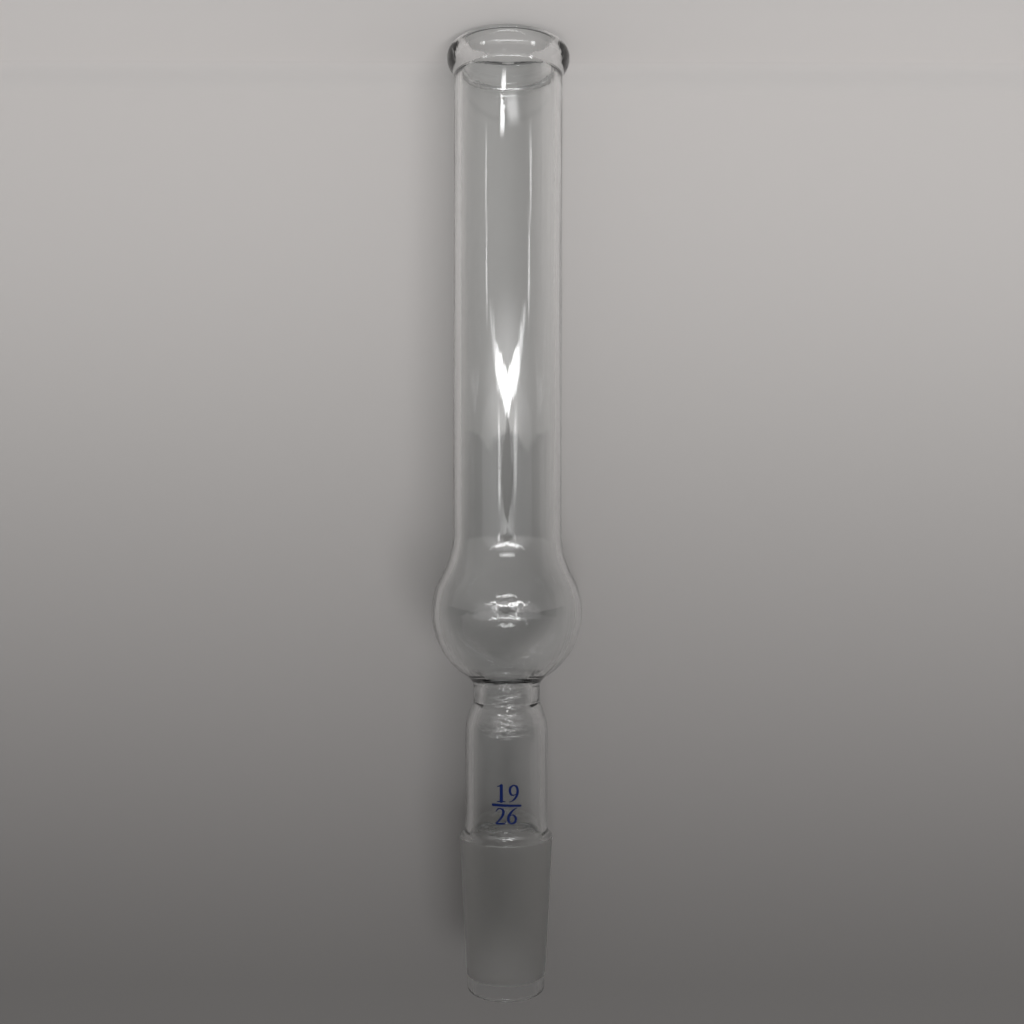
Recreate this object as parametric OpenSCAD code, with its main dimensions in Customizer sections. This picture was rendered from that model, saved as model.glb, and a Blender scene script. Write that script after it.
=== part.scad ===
// Glass drying tube with one bulb, a beaded mouth and a 19/26 ground joint.
// It is blown and worked from tubing as one piece, so it is one solid of revolution.
// It would roll on its side, so it stands on its mouth, with the ground joint up.

/* [Ground joint] */
// Diameter at the small end of the ground cone
joint_small_end = 16.2; // [15:0.1:17.5]
// Length over which the cone's diameter grows by one
joint_taper = 10; // [8:1:20]
// Length of the ground zone
ground_length = 27.8; // [20:0.1:40]
// Wall of the joint under the ground zone
joint_wall = 1.6; // [1.2:0.1:2.2]
// Length of the clear glass left below the ground zone
tip_length = 3.5; // [2:0.1:8]
// Depth of the clear tip below the surface of the cone
tip_step = 0.15; // [0.05:0.05:0.4]
// Rounding of the fire-polished end
tip_round = 0.65; // [0.2:0.05:0.7]

/* [Stem] */
// Step in from the top of the cone to the plain stem
collar_step = 1; // [0.5:0.1:1.6]
// Length of the rounded collar between cone and stem
collar_length = 2.3; // [1.6:0.1:4]
// Part of the collar's curve that its outer rounding takes
collar_share = 0.42; // [0.2:0.01:0.8]
// Length of the even stem above the collar
stem_length = 18.75; // [10:0.25:40]
// Wall of the stem
stem_wall = 1.5; // [1:0.1:2]

/* [Neck] */
// Outer diameter of the neck, its narrowest place
neck_od = 13.6; // [12:0.1:15.6]
// Wall of the neck, where the glass was fused and drew in
neck_wall = 2.1; // [1.4:0.1:3]
// Length of the even neck
neck_length = 2.55; // [1:0.05:6]
// Length of the shoulder between stem and neck
shoulder_length = 6.9; // [5:0.1:12]
// Part of the shoulder's curve that the crease at the neck takes
crease_share = 0.05; // [0.03:0.01:0.6]
// The same inside
inner_crease_share = 0.1; // [0.05:0.01:0.7]

/* [Bulb] */
// Outer diameter of the bulb
bulb_od = 31; // [28:0.1:44]
// Wall of the blown bulb
bulb_wall = 1.35; // [0.9:0.05:2]
// Blend of the bulb into the neck
neck_blend = 3; // [1:0.1:5]
// The same inside, tighter, as the glass is thickest where the bulb is sealed to the neck
inner_neck_blend = 1.5; // [1:0.1:5]
// Blend of the bulb into the body tube
tube_blend = 18; // [8:0.5:26]

/* [Body tube] */
// Outer diameter of the body tube
tube_od = 22.4; // [20:0.1:25]
// Wall of the body tube
tube_wall = 1.5; // [1:0.1:2]
// Length of the straight tube between bulb and bead
tube_length = 93.4; // [40:0.1:160]

/* [Mouth bead] */
// Height of the bead above the outside of the tube
bead_rise = 1.45; // [0.8:0.05:3]
// Height of the bead above the bore of the tube
bead_bulge = 0.7; // [0.3:0.05:1.2]
// Length over which the glass thickens from the tube to the bead
flare_length = 4.2; // [3:0.1:8]
// Part of the flare's curve next to the tube
flare_share = 0.4; // [0.2:0.01:0.8]
// Rounding of the bead's outer edge, up to the mouth
bead_round = 3; // [2:0.1:3]
// Rounding of the mouth's inner edge
mouth_round = 0.6; // [0.3:0.1:0.6]

/* [Hidden] */
$fn = 96;
arc_step = 6; // largest turn from one point of a round stretch to the next
tiny = 0.001;

// Distances from the axis
cone_r = joint_small_end / 2;
collar_r = cone_r + ground_length / (2 * joint_taper);
tip_r = cone_r - tip_step;
cone_bore_r = cone_r - joint_wall;
collar_bore_r = collar_r - joint_wall;
stem_r = collar_r - collar_step;
stem_bore_r = stem_r - stem_wall;
neck_r = neck_od / 2;
neck_bore_r = neck_r - neck_wall;
bulb_r = bulb_od / 2;
bulb_bore_r = bulb_r - bulb_wall;
tube_r = tube_od / 2;
tube_bore_r = tube_r - tube_wall;
bead_r = tube_r + bead_rise;
mouth_r = tube_bore_r - bead_bulge;

// Heights along the axis, each counted on from the one before
ground_top = tip_length + ground_length;
stem_start = ground_top + collar_length;
shoulder_start = stem_start + stem_length;
neck_start = shoulder_start + shoulder_length;
neck_top = neck_start + neck_length;
bulb_middle = neck_top + blend_reach(bulb_r, neck_r, neck_blend);
tube_start = bulb_middle + blend_reach(bulb_r, tube_r, tube_blend);
bead_start = tube_start + tube_length;
bead_widest = bead_start + flare_length;
mouth_height = bead_widest + bead_round;

// Both ends' rounding is limited by the thickness of the glass there
tip_edge = min(tip_round, (joint_wall - tip_step) / 2 - tiny);
lip_edge = min(bead_round, bead_r - mouth_r - mouth_round - tiny);

function reversed(list) = [for (i = [len(list) - 1 : -1 : 0]) list[i]];

// A stretch can end where the next one starts, and one such point is enough
function distinct(list) = [
    for (i = [0 : len(list) - 1])
        if (i == 0 || norm(list[i] - list[max(i - 1, 0)]) > tiny) list[i]
];

// Points of an arc about a centre, from one angle to another
function arc(centre, radius, from, to) =
    let (steps = max(2, ceil(abs(to - from) / arc_step)))
    [
        for (i = [0 : steps])
            let (a = from + (to - from) * i / steps)
            centre + radius * [cos(a), sin(a)]
    ];

// Two arcs that carry a wall from one place to another and leave it along the axis at both.
// The first arc takes the given share of the two radii.
function s_curve(from, to, share) =
    let (
        rise = to.x - from.x,
        way = rise < 0 ? -1 : 1,
        length = to.y - from.y,
        radii = (rise ^ 2 + length ^ 2) / (2 * max(abs(rise), tiny)),
        turn = 2 * atan2(abs(rise), length),
        first = radii * share,
        second = radii - first
    )
    way > 0
        ? concat(
            arc([from.x + first, from.y], first, 180, 180 - turn),
            arc([to.x - second, to.y], second, -turn, 0)
        )
        : concat(
            arc([from.x - first, from.y], first, 0, turn),
            arc([to.x + second, to.y], second, 180 + turn, 180)
        );

// Height between a ball's middle and the middle of the arc that blends it into a tube
function blend_reach(ball, tube, blend) = sqrt((ball + blend) ^ 2 - (tube + blend) ^ 2);

// Outline of the bulb, from the neck below it to the tube above it
function bulb_side(ball, neck, low_blend, tube, high_blend) =
    let (
        low = blend_reach(ball, neck, low_blend),
        high = blend_reach(ball, tube, high_blend),
        low_angle = atan2(low, neck + low_blend),
        high_angle = atan2(high, tube + high_blend)
    )
    concat(
        arc([neck + low_blend, bulb_middle - low], low_blend, 180, 180 - low_angle),
        arc([0, bulb_middle], ball, -low_angle, high_angle),
        arc([tube + high_blend, bulb_middle + high], high_blend, 180 + high_angle, 180)
    );

// Outside of the glass, from the end of the joint up to the mouth
outside = concat(
    arc([tip_r - tip_edge, tip_edge], tip_edge, -90, 0),
    [[tip_r, tip_length - tip_step], [cone_r, tip_length]],
    s_curve([collar_r, ground_top], [stem_r, stem_start], collar_share),
    s_curve([stem_r, shoulder_start], [neck_r, neck_start], 1 - crease_share),
    bulb_side(bulb_r, neck_r, neck_blend, tube_r, tube_blend),
    s_curve([tube_r, bead_start], [bead_r, bead_widest], flare_share),
    arc([bead_r - lip_edge, mouth_height - lip_edge], lip_edge, 0, 90)
);

// Inside of the glass, in the same direction
inside = concat(
    arc([cone_bore_r + tip_edge, tip_edge], tip_edge, 270, 180),
    s_curve(
        [collar_bore_r, ground_top - joint_wall],
        [stem_bore_r, stem_start + stem_wall],
        collar_share
    ),
    s_curve([stem_bore_r, shoulder_start], [neck_bore_r, neck_start], 1 - inner_crease_share),
    bulb_side(
        bulb_bore_r, neck_bore_r, inner_neck_blend,
        tube_bore_r, tube_blend + tube_wall
    ),
    s_curve([tube_bore_r, bead_start], [mouth_r, bead_widest], flare_share),
    arc([mouth_r + mouth_round, mouth_height - mouth_round], mouth_round, 180, 90)
);

// The whole piece of glass, standing on the end of its joint
module glass() {
    rotate_extrude() polygon(distinct(concat(outside, reversed(inside))));
}

module drying_tube() {
    color([0.84, 0.9, 0.89, 0.55])
        translate([0, 0, mouth_height])
            rotate([180, 0, 0])
                glass();
}

drying_tube();
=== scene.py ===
import bmesh
import bpy
import math
from mathutils import Matrix, Vector, noise


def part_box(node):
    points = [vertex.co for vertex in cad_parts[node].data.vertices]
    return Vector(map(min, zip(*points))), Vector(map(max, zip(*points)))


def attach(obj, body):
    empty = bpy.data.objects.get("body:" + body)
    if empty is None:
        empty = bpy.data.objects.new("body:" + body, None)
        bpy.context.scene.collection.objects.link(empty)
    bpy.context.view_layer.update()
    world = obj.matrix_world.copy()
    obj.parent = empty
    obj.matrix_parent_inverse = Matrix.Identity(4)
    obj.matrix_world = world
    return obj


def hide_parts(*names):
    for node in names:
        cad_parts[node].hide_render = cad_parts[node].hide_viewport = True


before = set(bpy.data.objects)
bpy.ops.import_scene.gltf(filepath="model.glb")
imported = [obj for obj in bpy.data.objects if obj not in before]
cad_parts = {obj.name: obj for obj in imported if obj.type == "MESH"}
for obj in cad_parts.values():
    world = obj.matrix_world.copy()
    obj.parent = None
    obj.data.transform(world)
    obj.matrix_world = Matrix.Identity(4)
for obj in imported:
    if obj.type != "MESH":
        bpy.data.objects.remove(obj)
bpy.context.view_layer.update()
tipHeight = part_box("drying_tube")[1][2]  # the mouth stands on zero, with the joint's tip up
mm = 0.001


def heightToZ(height):
    return tipHeight - height * mm  # heights count from the joint's tip towards the mouth


glass = {
    "jointSmallEnd": 16.2, "jointTaper": 10, "groundLength": 27.8, "jointWall": 1.6,
    "tipLength": 3.5, "tipStep": 0.15, "tipRound": 0.65,
    "collarStep": 1.0, "collarLength": 2.3, "collarShare": 0.42,
    "stemLength": 18.75, "stemWall": 1.5,
    "neckDiameter": 13.6, "neckWall": 2.1, "neckLength": 2.55, "shoulderLength": 6.9,
    "creaseShare": 0.05, "innerCreaseShare": 0.1,
    "bulbDiameter": 31.0, "bulbWall": 1.35, "neckBlend": 3.0, "innerNeckBlend": 1.5, "tubeBlend": 18.0,
    "tubeDiameter": 22.4, "tubeWall": 1.5, "tubeLength": 93.4,
    "beadRise": 1.45, "beadBulge": 0.7, "flareLength": 4.2, "flareShare": 0.4,
    "beadRound": 3.0, "mouthRound": 0.6,
    "segments": 160,      # round the axis
    "arcStep": 2.8,       # degrees between rings on a curve
    "fewestSteps": 3,     # the least number of them
    "finestStep": 0.14,   # mm, the least between rings
    "straightStep": 1.6,  # mm between rings on a straight
    "sealStep": 0.3,      # the same where the glass was fused
    "sealFrom": 3,        # mm past the start of the shoulder, where the fused stretch begins
    "sealPast": 5,        # mm past the neck, where it ends
    "samePlace": 1e-4,    # mm, points nearer than this are one
    "groundSlack": 0.01,  # mm of slack where the ground zone starts
    "groundPast": 0.35,   # mm that it runs on over the collar's edge
}


def arcPoints(centreR, centreH, radius, start, end):
    # an arc about a centre, from one angle to another in degrees
    reach = radius * math.radians(abs(end - start))
    byTurn, byReach = math.ceil(abs(end - start) / glass["arcStep"]), math.ceil(reach / glass["finestStep"])
    steps = max(glass["fewestSteps"], min(byTurn, byReach))
    turns = [math.radians(start + (end - start) * i / steps) for i in range(steps + 1)]
    return [(centreR + radius * math.cos(a), centreH + radius * math.sin(a)) for a in turns]


def sCurve(start, end, share):
    # two arcs that take a wall from one radius to another and run along the axis at both ends
    # the first has the given share of the two radii
    rise, length = end[0] - start[0], end[1] - start[1]
    way = -1 if rise < 0 else 1
    radii = (rise ** 2 + length ** 2) / (2 * abs(rise))
    turn = math.degrees(2 * math.atan2(abs(rise), length))
    first, second = radii * share, radii * (1 - share)
    if way > 0:
        return (arcPoints(start[0] + first, start[1], first, 180, 180 - turn)
                + arcPoints(end[0] - second, end[1], second, -turn, 0))
    return (arcPoints(start[0] - first, start[1], first, 0, turn)
            + arcPoints(end[0] + second, end[1], second, 180 + turn, 180))


def blendReach(ball, tube, blend):
    # height between a ball's middle and the middle of the arc that blends it into a tube
    return math.sqrt((ball + blend) ** 2 - (tube + blend) ** 2)


def bulbSide(middle, ball, neck, lowBlend, tube, highBlend):
    low, high = blendReach(ball, neck, lowBlend), blendReach(ball, tube, highBlend)
    lowAngle = math.degrees(math.atan2(low, neck + lowBlend))
    highAngle = math.degrees(math.atan2(high, tube + highBlend))
    return (arcPoints(neck + lowBlend, middle - low, lowBlend, 180, 180 - lowAngle)
            + arcPoints(0, middle, ball, -lowAngle, highAngle)
            + arcPoints(tube + highBlend, middle + high, highBlend, 180 + highAngle, 180))


def sectionPlaces(g):
    p = {}
    p["coneR"] = g["jointSmallEnd"] / 2
    p["collarR"] = p["coneR"] + g["groundLength"] / (2 * g["jointTaper"])
    p["tipR"] = p["coneR"] - g["tipStep"]
    p["stemR"] = p["collarR"] - g["collarStep"]
    p["neckR"] = g["neckDiameter"] / 2
    p["bulbR"] = g["bulbDiameter"] / 2
    p["tubeR"] = g["tubeDiameter"] / 2
    p["beadR"] = p["tubeR"] + g["beadRise"]
    p["groundTop"] = g["tipLength"] + g["groundLength"]
    p["stemStart"] = p["groundTop"] + g["collarLength"]
    p["shoulderStart"] = p["stemStart"] + g["stemLength"]
    p["neckStart"] = p["shoulderStart"] + g["shoulderLength"]
    p["neckTop"] = p["neckStart"] + g["neckLength"]
    p["bulbMiddle"] = p["neckTop"] + blendReach(p["bulbR"], p["neckR"], g["neckBlend"])
    p["tubeStart"] = p["bulbMiddle"] + blendReach(p["bulbR"], p["tubeR"], g["tubeBlend"])
    p["beadStart"] = p["tubeStart"] + g["tubeLength"]
    p["beadWidest"] = p["beadStart"] + g["flareLength"]
    p["mouth"] = p["beadWidest"] + g["beadRound"]
    return p


places = sectionPlaces(glass)


def evenOut(points, gap):
    # rings no further apart than the gap, and closer where the glass was fused
    out = [points[0]]
    fusedFrom, fusedTo = places["shoulderStart"] + glass["sealFrom"], places["neckTop"] + glass["sealPast"]
    for a, b in zip(points, points[1:]):
        reach = math.dist(a, b)
        if reach < glass["samePlace"]:
            continue
        parts = max(1, math.ceil(reach / (glass["sealStep"] if fusedFrom < a[1] < fusedTo else gap)))
        out += [(a[0] + (b[0] - a[0]) * i / parts, a[1] + (b[1] - a[1]) * i / parts)
                for i in range(1, parts + 1)]
    return out


def outsideLine(g, p):
    points = arcPoints(p["tipR"] - g["tipRound"], g["tipRound"], g["tipRound"], -90, 0)
    points += [(p["tipR"], g["tipLength"] - g["tipStep"]), (p["coneR"], g["tipLength"])]
    points += sCurve((p["collarR"], p["groundTop"]), (p["stemR"], p["stemStart"]), g["collarShare"])
    points += sCurve((p["stemR"], p["shoulderStart"]), (p["neckR"], p["neckStart"]), 1 - g["creaseShare"])
    points += bulbSide(p["bulbMiddle"], p["bulbR"], p["neckR"], g["neckBlend"], p["tubeR"], g["tubeBlend"])
    points += sCurve((p["tubeR"], p["beadStart"]), (p["beadR"], p["beadWidest"]), g["flareShare"])
    return points + arcPoints(p["beadR"] - g["beadRound"], p["beadWidest"], g["beadRound"], 0, 90)


def insideLine(g, p):
    coneBore, collarBore = p["coneR"] - g["jointWall"], p["collarR"] - g["jointWall"]
    stemBore, neckBore = p["stemR"] - g["stemWall"], p["neckR"] - g["neckWall"]
    tubeBore = p["tubeR"] - g["tubeWall"]
    mouthBore = tubeBore - g["beadBulge"]
    points = arcPoints(coneBore + g["tipRound"], g["tipRound"], g["tipRound"], 270, 180)
    collarStart, collarEnd = p["groundTop"] - g["jointWall"], p["stemStart"] + g["stemWall"]
    points += sCurve((collarBore, collarStart), (stemBore, collarEnd), g["collarShare"])
    points += sCurve((stemBore, p["shoulderStart"]), (neckBore, p["neckStart"]), 1 - g["innerCreaseShare"])
    points += bulbSide(p["bulbMiddle"], p["bulbR"] - g["bulbWall"], neckBore, g["innerNeckBlend"], tubeBore,
                       g["tubeBlend"] + g["tubeWall"])
    points += sCurve((tubeBore, p["beadStart"]), (mouthBore, p["beadWidest"]), g["flareShare"])
    lip = g["mouthRound"]
    return points + arcPoints(mouthBore + lip, p["mouth"] - lip, lip, 180, 90)


print("section ready, mouth at", round(places["mouth"], 3), "mm")


def meshPiece(name, verts, faces):
    mesh = bpy.data.meshes.new(name)
    mesh.from_pydata(verts, [], faces)
    mesh.validate()
    bm = bmesh.new()
    bm.from_mesh(mesh)
    bmesh.ops.recalc_face_normals(bm, faces=bm.faces)
    bm.to_mesh(mesh)
    bm.free()
    mesh.shade_smooth()
    piece = bpy.data.objects.new(name, mesh)
    bpy.context.collection.objects.link(piece)
    return piece


handwork = {
    "tubeWave": 0.02,           # mm, slow unevenness of drawn tube
    "bulbWave": 0.07,           # mm, blown by mouth
    "neckRipple": 0.05,         # mm, where the glass was fused
    "beadWave": 0.04,
    "tubeScale": (1.3, 0.04),   # how tight the waves are, round the glass and to the mm along it
    "blownScale": (1.6, 0.11),
    "neckScale": (2.2, 0.95),
    "bulbReach": 20, "neckReach": 9, "beadReach": 8,  # mm along the glass, from the middle of each
    "trueMiddle": 17, "trueReach": 18,                # mm, the ground cone has none of it
    "insideShift": 7.3,         # the inside has waves of its own
}


def near(value, middle, reach):
    # 1 at the middle, falling softly to 0 at the reach
    t = max(0.0, 1 - abs(value - middle) / reach)
    return t * t * (3 - 2 * t)


def wave(c, s, height, scale, shift):
    # noise at a place on the glass, given by its direction from the axis and its height
    around, along = scale
    return noise.noise(Vector((c * around + shift[0], s * around + shift[1], height * along)))


def unevenness(angle, height, inner):
    h, p = handwork, places
    side = h["insideShift"] if inner else 0.0
    c, s = math.cos(angle), math.sin(angle)
    slow = wave(c, s, height, h["tubeScale"], (0.0, side))
    blown = wave(c, s, height, h["blownScale"], (side, 0.0))
    ripple = wave(c, s, height, h["neckScale"], (0.0, side))
    handmade = 1 - near(height, h["trueMiddle"], h["trueReach"])
    return handmade * (h["tubeWave"] * slow
                       + h["bulbWave"] * blown * near(height, p["bulbMiddle"], h["bulbReach"])
                       + h["neckRipple"] * ripple * near(height, p["neckStart"], h["neckReach"])
                       + h["beadWave"] * blown * near(height, p["beadWidest"], h["beadReach"]))


def shapeGlass():
    outside = evenOut(outsideLine(glass, places), glass["straightStep"])
    inside = evenOut(insideLine(glass, places), glass["straightStep"])
    loop = [(r, h, False) for r, h in outside] + [(r, h, True) for r, h in reversed(inside)]
    count = glass["segments"]
    turns = [2 * math.pi * i / count for i in range(count)]
    verts = []
    for radius, height, inner in loop:
        for angle in turns:
            r = (radius + unevenness(angle, height, inner)) * mm
            verts.append((r * math.cos(angle), r * math.sin(angle), heightToZ(height)))
    faces, rings = [], len(loop)
    for ring in range(rings):
        after = (ring + 1) % rings
        for i in range(count):
            j = (i + 1) % count
            faces.append((ring * count + i, ring * count + j, after * count + j, after * count + i))
    tube = meshPiece("glassTube", verts, faces)
    lowest, highest = glass["tipLength"] - glass["groundSlack"], places["groundTop"] + glass["groundPast"]
    for face in tube.data.polygons:  # only the outside of the cone is ground
        ring = face.index // count
        heights = loop[ring][1], loop[(ring + 1) % rings][1]
        if ring < len(outside) - 1 and min(heights) > lowest and max(heights) < highest:
            face.material_index = 1
    return tube


tube = shapeGlass()
print("glass mesh ready,", len(tube.data.polygons), "faces")


def newGroup(name, inputs, outputs):
    group = bpy.data.node_groups.new(name, "ShaderNodeTree")
    for label, value in inputs:
        socket = group.interface.new_socket(label, in_out="INPUT", socket_type="NodeSocketFloat")
        socket.default_value = value
    for label in outputs:
        group.interface.new_socket(label, in_out="OUTPUT", socket_type="NodeSocketFloat")
    return group, group.nodes.new("NodeGroupInput"), group.nodes.new("NodeGroupOutput")


def addMath(tree, operation, a, b=None, c=None):
    node = tree.nodes.new("ShaderNodeMath")
    node.operation = operation
    for socket, value in zip(node.inputs, (a, b, c)):
        if value is None:
            continue
        if isinstance(value, (int, float)):
            socket.default_value = value
        else:
            tree.links.new(value, socket)
    return node.outputs[0]


def splitPlace(tree, kind="Object"):
    # x, y and z of each place on the surface, or of its normal
    place = tree.nodes.new("ShaderNodeTexCoord")
    split = tree.nodes.new("ShaderNodeSeparateXYZ")
    tree.links.new(place.outputs[kind], split.inputs[0])
    return split.outputs


def makeMarksGroup():
    # noise wrapped round the axis: Around sets how many marks go round, Along how many to the millimetre
    inputs = [("Around", 20.0), ("Along", 0.05), ("Detail", 2.0)]
    group, start, end = newGroup("axisMarks", inputs, ["Height"])
    links, nodes = group.links, group.nodes
    place = splitPlace(group)
    flat = nodes.new("ShaderNodeCombineXYZ")
    links.new(place[0], flat.inputs[0])
    links.new(place[1], flat.inputs[1])
    ring = nodes.new("ShaderNodeVectorMath")
    ring.operation = "NORMALIZE"
    links.new(flat.outputs[0], ring.inputs[0])
    ringSplit = nodes.new("ShaderNodeSeparateXYZ")
    links.new(ring.outputs[0], ringSplit.inputs[0])
    joined = nodes.new("ShaderNodeCombineXYZ")
    links.new(addMath(group, "MULTIPLY", ringSplit.outputs[0], start.outputs["Around"]), joined.inputs[0])
    links.new(addMath(group, "MULTIPLY", ringSplit.outputs[1], start.outputs["Around"]), joined.inputs[1])
    tall = addMath(group, "MULTIPLY", place[2], 1 / mm)
    links.new(addMath(group, "MULTIPLY", tall, start.outputs["Along"]), joined.inputs[2])
    grain = nodes.new("ShaderNodeTexNoise")
    grain.inputs["Scale"].default_value = 1.0
    grain.inputs["Roughness"].default_value = 0.55  # the share of the finer marks
    links.new(start.outputs["Detail"], grain.inputs["Detail"])
    links.new(joined.outputs[0], grain.inputs["Vector"])
    links.new(grain.outputs["Fac"], end.inputs["Height"])
    return group


axisMarks = makeMarksGroup()


def placeMarks(tree, around, along, detail):
    node = tree.nodes.new("ShaderNodeGroup")
    node.node_tree = axisMarks
    node.inputs["Around"].default_value = around
    node.inputs["Along"].default_value = along
    node.inputs["Detail"].default_value = detail
    return node.outputs["Height"]


def newMaterial(name):
    material = bpy.data.materials.new(name)
    material.use_nodes = True
    return material, material.node_tree, material.node_tree.nodes["Principled BSDF"]


def addBump(tree, shader, height, strength, distance):
    bump = tree.nodes.new("ShaderNodeBump")
    bump.inputs["Strength"].default_value = strength
    bump.inputs["Distance"].default_value = distance
    tree.links.new(height, bump.inputs["Height"])
    tree.links.new(bump.outputs["Normal"], shader.inputs["Normal"])


def mixRange(tree, value, low, high, start=0.0, end=1.0, soft=False):
    # goes from low to high while the value goes from start to end
    node = tree.nodes.new("ShaderNodeMapRange")
    node.interpolation_type = "SMOOTHSTEP" if soft else "LINEAR"
    for label, number in (("From Min", start), ("From Max", end), ("To Min", low), ("To Max", high)):
        node.inputs[label].default_value = number
    tree.links.new(value, node.inputs["Value"])
    return node.outputs["Result"]


def mixTones(tree, factor, low, high):
    node = tree.nodes.new("ShaderNodeMix")
    node.data_type = "RGBA"
    node.inputs["A"].default_value = (*low, 1)
    node.inputs["B"].default_value = (*high, 1)
    tree.links.new(factor, node.inputs["Factor"])
    return node.outputs["Result"]


def addZone(tree, height, full, reach):
    # 1 near a height on the glass, 0 further than reach from it, both in mm
    away = addMath(tree, "ABSOLUTE", addMath(tree, "SUBTRACT", splitPlace(tree)[2], heightToZ(height)))
    return mixRange(tree, away, 1.0, 0.0, full * mm, reach * mm, soft=True)


def addFrontAndBack(tree, start, full):
    # 1 on the front and the back of the tube, 0 on its sides, which stay smooth
    facing = addMath(tree, "ABSOLUTE", splitPlace(tree, "Normal")[1])
    return mixRange(tree, facing, 0.0, 1.0, start, full, soft=True)


def fadeToClear(tree, shader, share, tone=None):
    # by the share, light passes straight through the finish, and can take a tone there
    clear = tree.nodes.new("ShaderNodeBsdfTransparent")
    if tone is not None:
        tree.links.new(tone, clear.inputs["Color"])
    mix = tree.nodes.new("ShaderNodeMixShader")
    tree.links.new(share, mix.inputs[0])
    tree.links.new(shader.outputs[0], mix.inputs[1])
    tree.links.new(clear.outputs[0], mix.inputs[2])
    tree.links.new(mix.outputs[0], tree.nodes["Material Output"].inputs["Surface"])


edgeBlend = 0.35    # how far the darker tone of an edge reaches into the glass
glassIndex = 1.474  # borosilicate


def newGlass(name, look):
    material, tree, shader = newMaterial(name)
    shader.inputs["Base Color"].default_value = (*look["tint"], 1)
    shader.inputs["IOR"].default_value = glassIndex
    shader.inputs["Transmission Weight"].default_value = 1.0
    return material, tree, shader


def letLampsThrough(tree, shader, look):
    # lamps shine through glass, a little less at its edges
    path = tree.nodes.new("ShaderNodeLightPath")
    rays = addMath(tree, "MAXIMUM", path.outputs["Is Shadow Ray"], path.outputs["Is Diffuse Ray"])
    facing = tree.nodes.new("ShaderNodeLayerWeight")
    facing.inputs["Blend"].default_value = edgeBlend
    tone = mixTones(tree, facing.outputs["Facing"], look["shade"], look["edgeShade"])
    fadeToClear(tree, shader, rays, tone)


# marks are given as how many go round, how many to the mm along the glass, and their detail
clearGlass = {
    "tint": (0.985, 0.992, 0.990),
    "streaks": (13.0, 0.03, 1.0),    # all along, from the drawing of the tube
    "wrinkles": (2.6, 1.2, 1.0),     # where the neck and the collar were fused
    "wrinkleHeight": 15.0,           # against the streaks
    "seals": (("neckTop", -0.8, 2.4, 7.2, 0.9),    # place, mm above it, full and whole reach in mm, share
              ("neckStart", -3.6, 1.6, 5.0, 1.0),
              ("stemStart", -1.0, 1.0, 2.4, 0.4)),
    "swells": (8.0, 0.6, 1.0),       # slow unevenness of the blown bulb
    "swellHeight": 2.6,
    "swellZone": ("bulbMiddle", 2.0, 4.0, 10.0),   # the same as for a seal
    "sides": (0.66, 0.94),           # how squarely it faces front or back where marks start, and are full
    "markDepth": 0.00005,
    "markStrength": 0.5,
    "shade": (0.93, 0.935, 0.935),
    "edgeShade": (0.36, 0.37, 0.37),
}


def makeClearGlass(c):
    material, tree, shader = newGlass("clearGlass", c)
    shader.inputs["Roughness"].default_value = 0.0
    sealed = None
    for place, above, full, reach, share in c["seals"]:
        zone = addMath(tree, "MULTIPLY", addZone(tree, places[place] + above, full, reach), share)
        sealed = zone if sealed is None else addMath(tree, "MAXIMUM", sealed, zone)
    seal = addMath(tree, "MULTIPLY", placeMarks(tree, *c["wrinkles"]), sealed)
    middle = addFrontAndBack(tree, *c["sides"])
    seal = addMath(tree, "MULTIPLY", seal, middle)
    place, above, full, reach = c["swellZone"]
    blown = addMath(tree, "MULTIPLY", placeMarks(tree, *c["swells"]),
                    addZone(tree, places[place] + above, full, reach))
    blown = addMath(tree, "MULTIPLY", blown, middle)
    marks = addMath(tree, "MULTIPLY_ADD", seal, c["wrinkleHeight"], placeMarks(tree, *c["streaks"]))
    marks = addMath(tree, "MULTIPLY_ADD", blown, c["swellHeight"], marks)
    addBump(tree, shader, marks, c["markStrength"], c["markDepth"])
    letLampsThrough(tree, shader, c)
    return material


groundGlass = {
    # tint: the ground glass's own grey, and partly painted shade, greyer so the frosted joint reads darker
    "tint": (0.85, 0.845, 0.83),
    "grind": (14.0, 6.0, 4.0),       # fine marks that run round the cone
    "roughness": (0.50, 0.62),
    "pits": (90.0, 11.0, 3.0),
    "pitDepth": 0.00003,
    "pitStrength": 0.4,
    "shade": (0.58, 0.58, 0.57),
    "edgeShade": (0.30, 0.30, 0.30),
}


def makeGroundGlass(g):
    material, tree, shader = newGlass("groundGlass", g)
    grind = placeMarks(tree, *g["grind"])
    tree.links.new(mixRange(tree, grind, *g["roughness"]), shader.inputs["Roughness"])
    addBump(tree, shader, placeMarks(tree, *g["pits"]), g["pitStrength"], g["pitDepth"])
    letLampsThrough(tree, shader, g)
    return material


tube.data.materials.append(makeClearGlass(clearGlass))
tube.data.materials.append(makeGroundGlass(groundGlass))
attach(tube, "root")
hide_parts("drying_tube")
print("glass finishes ready")


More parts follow.
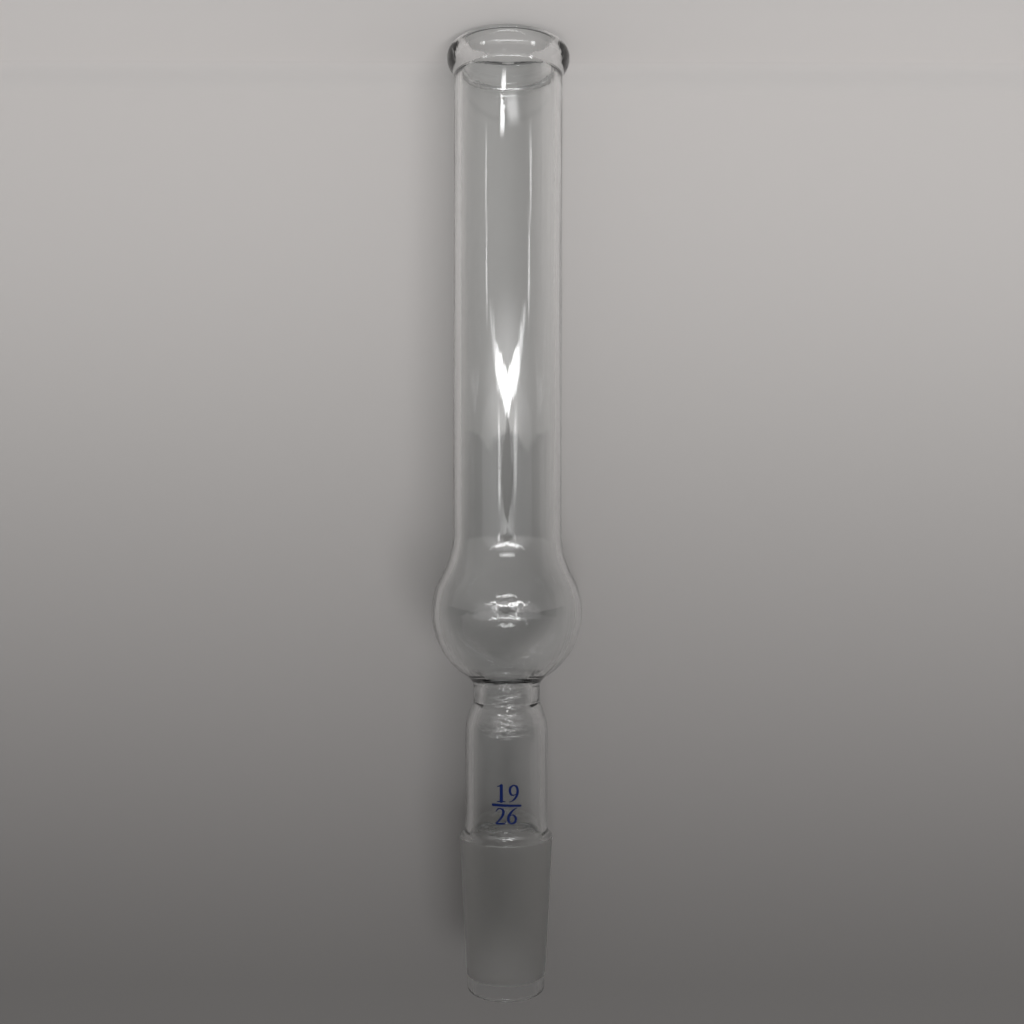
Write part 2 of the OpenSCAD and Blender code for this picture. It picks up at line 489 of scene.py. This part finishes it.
sizePrint = {
    "height": 39.63,       # mm from the joint's tip to the middle of the bar
    "grid": 0.05,          # mm between points of the enamel
    "margin": 10,          # steps of the grid left round a figure
    "lift": 0.03,          # mm of enamel above the glass
    "sunk": 0.03,          # mm that its back lies in the glass
    "edge": 0.08,          # mm from its rim to its full thickness
    "ragged": 0.012,       # mm of unevenness of its rim
    "raggedScale": 0.3,
    "bar": {"from": (-2.66, 0.10), "to": (2.92, -0.10), "thick": (0.56, 0.42)},
    "digits": (("one", 3.56, -1.86, 0.68), ("nine", 3.56, 0.47, 0.68),  # name, height, place across and up
               ("two", 3.36, -2.20, -3.80), ("six", 3.50, 0.12, -3.88)),
    "ink": (0.003, 0.009, 0.052),
    "inkSpread": (0.75, 1.3),     # its darkest and palest grain against that
    "grain": (60.0, 7.0, 3.0),
    "roughness": (0.5, 0.65),
    "shine": 0.04,
    "pores": (140.0, 16.0, 2.0),
    "poreStrength": 0.3,
    "poreDepth": 0.000006,
}
# strokes of each digit: across, up and width at a few places, as parts of the digit's height
digitStrokes = {
    "one": (((0.247, 0.05, 0.19), (0.247, 0.93, 0.17)),
            ((0.03, 0.875, 0.05), (0.13, 0.895, 0.07), (0.26, 0.965, 0.07)),
            ((0.02, 0.025, 0.05), (0.14, 0.035, 0.07), (0.36, 0.035, 0.07), (0.47, 0.022, 0.045))),
    "nine": (((0.30, 0.945, 0.07), (0.125, 0.84, 0.125), (0.07, 0.64, 0.14), (0.135, 0.44, 0.12),
              (0.26, 0.38, 0.07), (0.40, 0.43, 0.05)),
             ((0.30, 0.945, 0.07), (0.45, 0.85, 0.125), (0.515, 0.64, 0.15), (0.475, 0.38, 0.14),
              (0.345, 0.18, 0.11), (0.18, 0.055, 0.06), (0.03, 0.01, 0.035))),
    "two": (((0.045, 0.77, 0.05), (0.15, 0.91, 0.08), (0.31, 0.95, 0.08), (0.46, 0.86, 0.14),
             (0.49, 0.68, 0.16), (0.39, 0.45, 0.13), (0.21, 0.23, 0.095), (0.06, 0.075, 0.07)),
            ((0.06, 0.05, 0.09), (0.30, 0.05, 0.11), (0.53, 0.055, 0.09)),
            ((0.53, 0.06, 0.09), (0.59, 0.12, 0.06), (0.62, 0.21, 0.03))),
    "six": (((0.59, 0.965, 0.035), (0.42, 0.88, 0.075), (0.23, 0.70, 0.125), (0.095, 0.44, 0.155),
             (0.125, 0.20, 0.135), (0.285, 0.06, 0.08)),
            ((0.285, 0.06, 0.08), (0.475, 0.17, 0.13), (0.525, 0.36, 0.14), (0.44, 0.52, 0.10),
             (0.30, 0.57, 0.055), (0.16, 0.49, 0.04))),
}
tiny = 1e-12  # keeps a stroke of no length from dividing by nothing


def smoothStroke(points, steps=12):
    # a curve through the given places, with the width carried along
    path, last = [], len(points) - 1
    for i in range(last):
        a, b = points[i], points[i + 1]
        before, after = points[max(i - 1, 0)], points[min(i + 2, last)]
        for k in range(steps + (i == last - 1)):
            t = k / steps
            path.append(tuple(
                0.5 * (2 * a[n] + (b[n] - before[n]) * t
                       + (2 * before[n] - 5 * a[n] + 4 * b[n] - after[n]) * t ** 2
                       + (3 * a[n] - before[n] - 3 * b[n] + after[n]) * t ** 3) for n in range(3)))
    return path


def printMarks(s):
    # every figure as a list of strokes, in mm from the middle of the bar
    marks = []
    for name, size, across, up in s["digits"]:
        marks.append([[(across + x * size, up + y * size, w * size) for x, y, w in smoothStroke(stroke)]
                      for stroke in digitStrokes[name]])
    bar = s["bar"]
    marks.append([[(*bar["from"], bar["thick"][0]), (*bar["to"], bar["thick"][1])]])
    return marks


def inkDepth(x, y, strokes):
    # how far a place lies inside the ink, less than nothing outside it
    best = -1.0
    for stroke in strokes:
        for (ax, ay, aw), (bx, by, bw) in zip(stroke, stroke[1:]):
            dx, dy = bx - ax, by - ay
            t = min(1.0, max(0.0, ((x - ax) * dx + (y - ay) * dy) / (dx * dx + dy * dy + tiny)))
            best = max(best, (aw + (bw - aw) * t) / 2 - math.hypot(x - ax - dx * t, y - ay - dy * t))
    return best


def gridSteps(values, s):
    return range(math.floor(min(values) / s["grid"]) - s["margin"],
                 math.ceil(max(values) / s["grid"]) + s["margin"])


def shapeMark(s, strokes, verts, faces):
    # one figure as a thin slab of enamel, wrapped on the stem
    # its rim runs between the points of the grid, where the depth is nothing
    cell, radius = s["grid"], places["stemR"]
    columns = gridSteps([x for stroke in strokes for x, y, w in stroke], s)
    rows = gridSteps([y for stroke in strokes for x, y, w in stroke], s)
    depth, index = {}, {}
    for i in columns:
        for j in rows:
            stray = noise.noise(Vector((i * s["raggedScale"], j * s["raggedScale"], 0)))
            depth[i, j] = inkDepth(i * cell, j * cell, strokes) + s["ragged"] * stray

    def pointAt(key, x, y, inside, front):
        key = (key, front if inside > 0 else None)  # the rim belongs to both sides
        if key not in index:
            index[key] = len(verts)
            swell = min(1.0, inside / s["edge"])
            r = radius + (s["lift"] * swell * (2 - swell) if front else -s["sunk"] * swell)
            verts.append((-r * math.sin(x / radius) * mm, -r * math.cos(x / radius) * mm,
                          heightToZ(s["height"] + y)))
        return index[key]

    for i in columns[:-1]:
        for j in rows[:-1]:
            corners = [(i, j), (i + 1, j), (i + 1, j + 1), (i, j + 1)]
            if max(depth[c] for c in corners) <= 0:
                continue
            for front in (True, False):
                loop = []
                for a, b in zip(corners, corners[1:] + corners[:1]):
                    if depth[a] > 0:
                        loop.append(pointAt(a, a[0] * cell, a[1] * cell, depth[a], front))
                    if (depth[a] > 0) != (depth[b] > 0):
                        t = depth[a] / (depth[a] - depth[b])
                        x, y = a[0] + (b[0] - a[0]) * t, a[1] + (b[1] - a[1]) * t
                        loop.append(pointAt((min(a, b), max(a, b)), x * cell, y * cell, 0, front))
                if len(set(loop)) > 2:
                    faces.append(loop if front else loop[::-1])


def shapePrint(s):
    verts, faces = [], []
    for strokes in printMarks(s):
        shapeMark(s, strokes, verts, faces)
    return meshPiece("sizePrint", verts, faces)


def makeEnamel(s):
    material, tree, shader = newMaterial("blueEnamel")
    grain = placeMarks(tree, *s["grain"])
    dark, pale = ([c * share for c in s["ink"]] for share in s["inkSpread"])
    tree.links.new(mixTones(tree, grain, dark, pale), shader.inputs["Base Color"])
    tree.links.new(mixRange(tree, grain, *s["roughness"]), shader.inputs["Roughness"])
    shader.inputs["Specular IOR Level"].default_value = s["shine"]
    addBump(tree, shader, placeMarks(tree, *s["pores"]), s["poreStrength"], s["poreDepth"])
    return material


sizeMark = shapePrint(sizePrint)
sizeMark.data.materials.append(makeEnamel(sizePrint))
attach(sizeMark, "root")
print("size print ready,", len(sizeMark.data.polygons), "faces")


stage = {
    "paper": (0.83, 0.80, 0.785),
    "paperSpread": (0.97, 1.03),    # its darkest and palest grain against that
    "grainScale": 9.0, "grainDetail": 5.0,
    "roughness": 0.9, "shine": 0.1,
    "warmth": (1.0, 0.965, 0.945),
    # height in metres, and tone of the card, which darkens upwards as painted shade
    "grade": ((0.0, 0.51), (0.05, 0.44), (0.1, 0.30), (0.15, 0.190), (0.2, 0.098)),
    "cardHalfWidth": 0.135, "cardHeight": 0.225,
    "footLean": 0.3,      # how far the card's foot leans in, against the way from bulb to bead
    "leanTop": 0.8,       # it is upright from this part of the bulb's height
    "bend": 0.0056,       # radius between card and floor, just clear of the bead
    "bendSteps": 16,
    "bendTone": 0.235,    # painted shade: the bend faces the key lamp, so its paint is this much darker
    "footTone": 0.627,    # painted light: the floor faces it less, so its strip is painted this much paler
    "cornerTone": 0.08,   # painted shade: light gathers in the corner, so the strip's paint is toned down towards it by this
    "corner": (-0.015, 0.0094),     # metres towards the card, where that starts and ends
    "stripFront": -0.06,
    "gap": 0.00015,
    "floorReach": 1.2, "floorDrop": 0.0002,
}


def paintCardShade(tree):
    # painted shade: the card's paint darkens evenly from its foot to its top, and painted light and shade
    # even out the lamps on its bend and its strip of floor
    _, y, z = splitPlace(tree)
    top = stage["grade"][-1][0]
    ramp = tree.nodes.new("ShaderNodeValToRGB")
    ramp.color_ramp.interpolation = "B_SPLINE"
    stops = ramp.color_ramp.elements
    while len(stops) < len(stage["grade"]):
        stops.new(0.5)
    for stop, (height, tone) in zip(stops, stage["grade"]):
        stop.position = height / top
        stop.color = (*[tone * c for c in stage["warmth"]], 1)
    tree.links.new(addMath(tree, "DIVIDE", z, top), ramp.inputs[0])
    rise = addMath(tree, "DIVIDE", addMath(tree, "MAXIMUM", z, 0), stage["bend"])
    rise = addMath(tree, "MINIMUM", addMath(tree, "SQRT", rise), 1)
    hump = addMath(tree, "SINE", addMath(tree, "MULTIPLY", rise, math.pi))
    foot = addMath(tree, "SUBTRACT", 1, rise)
    level = addMath(tree, "MULTIPLY_ADD", hump, -stage["bendTone"], 1)
    corner = mixRange(tree, y, stage["footTone"], stage["footTone"] - stage["cornerTone"], *stage["corner"])
    toned = tree.nodes.new("ShaderNodeVectorMath")
    toned.operation = "SCALE"
    tree.links.new(ramp.outputs[0], toned.inputs[0])
    tree.links.new(addMath(tree, "MULTIPLY_ADD", foot, corner, level), toned.inputs["Scale"])
    return toned.outputs[0]


def newPaper(name):
    material, tree, shader = newMaterial(name)
    shader.inputs["Roughness"].default_value = stage["roughness"]
    shader.inputs["Specular IOR Level"].default_value = stage["shine"]
    return material, tree, shader


def makeFloorPaper():
    material, tree, shader = newPaper("floorPaper")
    grain = tree.nodes.new("ShaderNodeTexNoise")
    grain.inputs["Scale"].default_value = stage["grainScale"]
    grain.inputs["Detail"].default_value = stage["grainDetail"]
    dark, pale = ([c * share for c in stage["paper"]] for share in stage["paperSpread"])
    tree.links.new(mixTones(tree, grain.outputs["Fac"], dark, pale), shader.inputs["Base Color"])
    return material


def makeCardPaper():
    material, tree, shader = newPaper("cardPaper")
    tree.links.new(paintCardShade(tree), shader.inputs["Base Color"])
    back = tree.nodes.new("ShaderNodeNewGeometry")  # from behind, the card doesn't hide the glass
    fadeToClear(tree, shader, back.outputs["Backfacing"])
    return material


def stagePiece(name, verts, faces, material):
    mesh = bpy.data.meshes.new(name)
    mesh.from_pydata(verts, [], faces)
    mesh.shade_smooth()
    piece = bpy.data.objects.new(name, mesh)
    bpy.context.collection.objects.link(piece)
    piece.data.materials.append(material)
    return piece


def makeCard():
    # a card right behind the glass, a hair off the bulb and the bead, with a tight bend into a strip of floor
    bulbZ, beadZ = heightToZ(places["bulbMiddle"]), heightToZ(places["beadWidest"])
    bulbY, beadY = places["bulbR"] * mm + stage["gap"], places["beadR"] * mm + stage["gap"]
    slope = (bulbY - beadY) / (bulbZ - beadZ)
    bend = stage["bend"]
    footY = bulbY - stage["footLean"] * slope * bulbZ
    line = [(stage["stripFront"], 0.0)]
    for i in range(stage["bendSteps"] + 1):
        a = math.radians(-90 + 90 * i / stage["bendSteps"])
        line.append((footY - bend + bend * math.cos(a), bend + bend * math.sin(a)))
    line += [(bulbY, bulbZ * stage["leanTop"]), (bulbY, stage["cardHeight"])]
    half = stage["cardHalfWidth"]
    verts = [(x, y, z) for y, z in line for x in (-half, half)]
    faces = [(2 * i + 1, 2 * i + 3, 2 * i + 2, 2 * i) for i in range(len(line) - 1)]
    return stagePiece("backCard", verts, faces, makeCardPaper())


def makeFloor():
    reach, low = stage["floorReach"], -stage["floorDrop"]
    verts = [(-reach, -reach, low), (reach, -reach, low), (reach, reach, low), (-reach, reach, low)]
    return stagePiece("floor", verts, [(0, 1, 2, 3)], makeFloorPaper())


makeCard()
makeFloor()
print("stage ready")


lamps = {
    "fill": 0.28,   # room light on everything
    "room": 0.10,   # tone of the room itself, as seen past the floor and in the glass
    "key": {"at": (-0.30, -1.25, 0.58), "aim": (0.0, 0.0, 0.08), "size": (0.85, 0.65), "radiance": 8.7},
    # the rest show only as reflections in the glass, outer ones on its outside alone
    # those with a pair have a second lamp on the other side, brighter or fainter by that factor
    "window": {"at": (0.054, -0.25, 0.0410), "aim": (0.0, 0.0, 0.06), "size": (0.136, 0.0165),
               "radiance": 13.0, "spread": 90, "feather": 0.34, "lean": -7.0, "pair": 1.1},
    "windowEnd": {"at": (0.148, -0.25, 0.0215), "aim": (0.0, 0.0, 0.06), "size": (0.10, 0.016),
                  "radiance": 4.0, "spread": 110, "feather": 0.8, "lean": -21.0, "pair": 1.5},
    "mouthStreak": {"at": (0.0015, -0.0140, 0.0148), "aim": (0.0015, 0.0, 0.0148), "size": (0.0016, 0.0150),
                    "radiance": 30.0, "spread": 120, "feather": 0.5, "lean": -2.5, "outer": True},
    "mouthPatch": {"at": (-0.0014, -0.0140, 0.0158), "aim": (-0.0014, 0.0, 0.0158), "size": (0.0054, 0.0088),
                   "radiance": 10.0, "spread": 120, "feather": 0.8, "lean": 12.0, "outer": True},
    "rim": {"at": (0.078, -0.25, 0.074), "aim": (0.0, 0.0, 0.08), "size": (0.020, 0.050), "radiance": 6.5,
            "spread": 70, "feather": 0.7, "pair": 0.85},
    "strip": {"at": (0.093, -0.10, 0.022), "aim": (0.0, 0.0, 0.022), "size": (0.015, 0.044), "radiance": 15.0,
              "spread": 60, "feather": 0.8, "pair": 1.0, "outer": True},
    "stripNear": {"at": (0.041, -0.044, 0.0155), "aim": (0.0, 0.0, 0.0155), "size": (0.007, 0.030),
                  "radiance": 15.0, "spread": 60, "feather": 0.8, "pair": 1.0, "outer": True},
    "glow": {"at": (0.0, -0.26, 0.034), "aim": (0.0, 0.0, 0.06), "size": (0.80, 0.068), "radiance": 4.2,
             "spread": 130, "feather": 1.0, "outer": True},
    "panel": {"at": (0.0, -0.33, 0.100), "aim": (0.0, 0.0, 0.10), "size": (0.95, 0.14), "radiance": 1.7,
              "spread": 130, "feather": 0.15, "outer": True},
    "front": {"at": (0.0, -0.62, 0.13), "aim": (0.0, 0.0, 0.10), "size": (0.5, 0.10), "radiance": 1.2,
              "spread": 120, "feather": 0.8},
    "low": {"at": (0.0, -0.20, 0.012), "aim": (0.0, 0.0, 0.165), "size": (0.13, 0.018), "radiance": 12.0,
            "spread": 44, "feather": 0.3},
}


def addFeather(data, feather):
    # the lamp fades towards its edges
    data.use_nodes = True
    tree = data.node_tree
    place = tree.nodes.new("ShaderNodeNewGeometry")
    split = tree.nodes.new("ShaderNodeSeparateXYZ")
    tree.links.new(place.outputs["Parametric"], split.inputs[0])
    fades = []
    for side in split.outputs[:2]:
        away = addMath(tree, "ABSOLUTE", addMath(tree, "SUBTRACT", side, 0.5))
        fades.append(mixRange(tree, away, 1.0, 0.0, 0.5 - feather / 2, 0.5, soft=True))
    tree.links.new(addMath(tree, "MULTIPLY", *fades), tree.nodes["Emission"].inputs["Strength"])


def addLamp(name, lamp):
    data = bpy.data.lights.new(name, "AREA")
    data.shape = "RECTANGLE"
    data.size, data.size_y = lamp["size"]
    data.energy = lamp["radiance"] * math.pi * data.size * data.size_y
    light = bpy.data.objects.new(name, data)
    if "spread" in lamp:  # a gridded lamp shines as bright ahead, and only there
        half = math.radians(lamp["spread"] / 2)
        data.spread = 2 * half
        data.energy *= (math.tan(half) - half) / math.tan(half)
        light.visible_diffuse = False
        light.visible_transmission = not lamp.get("outer")
        addFeather(data, lamp["feather"])
    else:
        light.visible_glossy = light.visible_transmission = False
    towards = Vector(lamp["aim"]) - Vector(lamp["at"])
    lean = Matrix.Rotation(math.radians(lamp.get("lean", 0)), 3, "Z")
    turn = towards.to_track_quat("-Z", "Y").to_matrix() @ lean
    light.matrix_world = Matrix.Translation(lamp["at"]) @ turn.to_4x4()
    light.visible_camera = False
    bpy.context.collection.objects.link(light)


def otherSide(lamp):
    # the same lamp mirrored across the middle
    flip = dict(lamp, radiance=lamp["radiance"] * lamp["pair"], lean=-lamp.get("lean", 0))
    flip["at"], flip["aim"] = ((-x, y, z) for x, y, z in (lamp["at"], lamp["aim"]))
    return flip


for name, lamp in lamps.items():
    if isinstance(lamp, dict):
        addLamp(name, lamp)
        if "pair" in lamp:
            addLamp(name + "Other", otherSide(lamp))


def makeRoom():
    world = bpy.data.worlds.new("room")
    world.use_nodes = True
    tree = world.node_tree
    glow = tree.nodes["Background"]
    glow.inputs["Color"].default_value = (1, 1, 1, 1)
    path = tree.nodes.new("ShaderNodeLightPath")
    inGlass = addMath(tree, "MAXIMUM", path.outputs["Is Glossy Ray"], path.outputs["Is Transmission Ray"])
    seen = addMath(tree, "MAXIMUM", path.outputs["Is Camera Ray"], inGlass)
    tree.links.new(mixRange(tree, seen, lamps["fill"], lamps["room"]), glow.inputs["Strength"])
    bpy.context.scene.world = world


shade = {  # the dark camera, seen only in the glass
    "low": 0.0576, "high": 0.1009, "half": 0.055, "away": 0.2466,
    "steps": 24,
    "pointed": 1.35,   # how much sharper it is towards the floor
    "tone": (0.03, 0.03, 0.03),
}


def makeShade(s):
    # pointed towards the floor and round above
    rim = []
    for i in range(s["steps"] + 1):
        t = i / s["steps"]
        rim.append((s["half"] * math.sin(math.pi * t ** s["pointed"]), s["low"] + (s["high"] - s["low"]) * t))
    line = [(-w, z) for w, z in rim] + [(w, z) for w, z in reversed(rim[1:-1])]
    material, _, shader = newMaterial("darkShade")
    shader.inputs["Base Color"].default_value = (*s["tone"], 1)
    verts = [(x, -s["away"], z) for x, z in line]
    piece = stagePiece("cameraShade", verts, [tuple(range(len(line)))], material)
    piece.visible_camera = piece.visible_shadow = piece.visible_diffuse = False


makeRoom()
makeShade(shade)
print("light ready")


view = {
    "lens": 42.08, "distance": 0.2468,
    "height": 98.1,       # mm from the joint's tip
    "aside": -1.0,        # mm
    "roll": 0.155,        # degrees
    "clip": (0.01, 20),
}


def addCamera(v):
    data = bpy.data.cameras.new("camera")
    data.lens = v["lens"]
    data.clip_start, data.clip_end = v["clip"]
    camera = bpy.data.objects.new("camera", data)
    bpy.context.collection.objects.link(camera)
    # the mouth is at the top of the view
    right, up, back = Vector((-1, 0, 0)), Vector((0, 0, -1)), Vector((0, -1, 0))
    turn = Matrix((right, up, back)).transposed() @ Matrix.Rotation(math.radians(v["roll"]), 3, "Z")
    place = Vector((v["aside"] * mm, -v["distance"], heightToZ(v["height"])))
    camera.matrix_world = Matrix.Translation(place) @ turn.to_4x4()
    bpy.context.scene.camera = camera


addCamera(view)
bpy.context.scene.view_settings.view_transform = "Standard"
print("camera ready")
